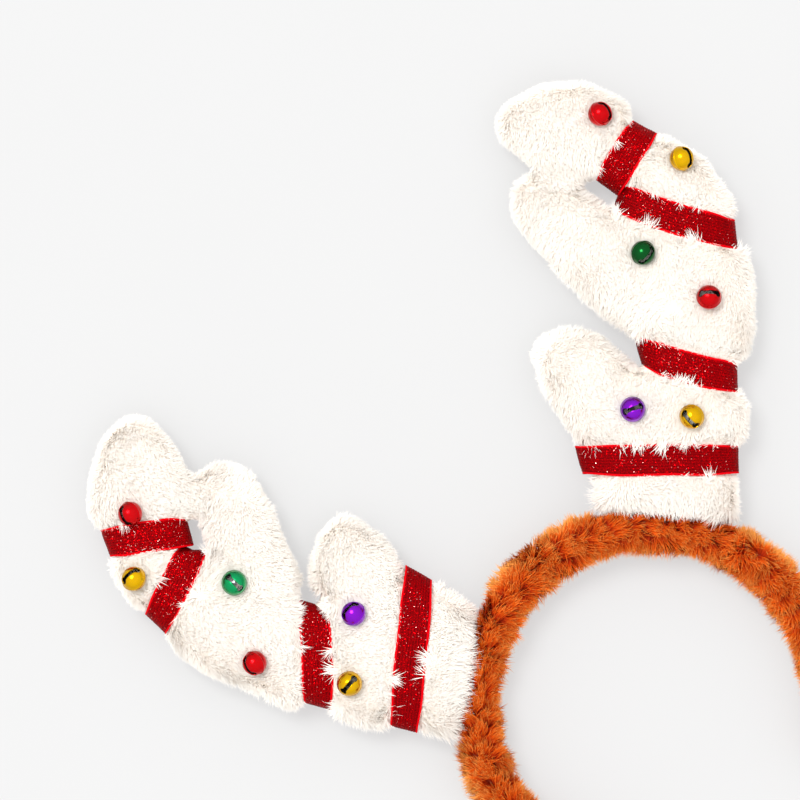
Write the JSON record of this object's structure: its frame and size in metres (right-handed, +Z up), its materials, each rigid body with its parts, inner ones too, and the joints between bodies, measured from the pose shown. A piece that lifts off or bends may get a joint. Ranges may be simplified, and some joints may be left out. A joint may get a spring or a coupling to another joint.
{
  "type": "reindeer antler headband",
  "caption": "Plush-covered hairband with two stuffed antlers wound with glitter ribbon and set with jingle bells, lying flat.",
  "frame": {"origin": "middle of the bounding box's underside, on the surface that the headband lies on", "axes": "+Z up out of that surface, +Y from the open end of the band to the antler tips, +X to the right antler as seen from above with the tips away from the viewer"},
  "size_m": [0.2984, 0.3034, 0.0345],
  "materials": {
    "brown_plush": "long pile plush",
    "white_plush": "short pile plush",
    "red_glitter_ribbon": "glitter-coated woven ribbon",
    "bell_red": "clear red lacquer over bright plate",
    "bell_gold": "clear gold lacquer over bright plate",
    "bell_green": "clear dark green lacquer over bright plate",
    "bell_emerald": "clear emerald lacquer over bright plate",
    "bell_purple": "clear purple lacquer over bright plate",
    "pellet_steel": "tumbled steel shot"
  },
  "bodies": {
    "root": {"band": "brown_plush", "antler_right": "white_plush", "antler_left": "white_plush", "ribbon_right_base": "red_glitter_ribbon", "ribbon_right_middle": "red_glitter_ribbon", "ribbon_right_beam": "red_glitter_ribbon", "ribbon_right_tip": "red_glitter_ribbon", "ribbon_left_base": "red_glitter_ribbon", "ribbon_left_middle": "red_glitter_ribbon", "ribbon_left_beam": "red_glitter_ribbon", "ribbon_left_tip": "red_glitter_ribbon", "bell_right_tip": "bell_red", "bell_right_wedge": "bell_gold", "bell_right_middle_crook": "bell_green", "bell_right_middle_rim": "bell_red", "bell_right_base_crook": "bell_purple", "bell_right_base_rim": "bell_gold", "bell_left_tip": "bell_red", "bell_left_wedge": "bell_gold", "bell_left_middle_crook": "bell_emerald", "bell_left_middle_rim": "bell_red", "bell_left_base_crook": "bell_purple", "bell_left_base_rim": "bell_gold", "pellet_right_tip": "pellet_steel", "pellet_right_wedge": "pellet_steel", "pellet_right_middle_crook": "pellet_steel", "pellet_right_middle_rim": "pellet_steel", "pellet_right_base_crook": "pellet_steel", "pellet_right_base_rim": "pellet_steel", "pellet_left_tip": "pellet_steel", "pellet_left_wedge": "pellet_steel", "pellet_left_middle_crook": "pellet_steel", "pellet_left_middle_rim": "pellet_steel", "pellet_left_base_crook": "pellet_steel", "pellet_left_base_rim": "pellet_steel"}
  },
  "joints": []
}
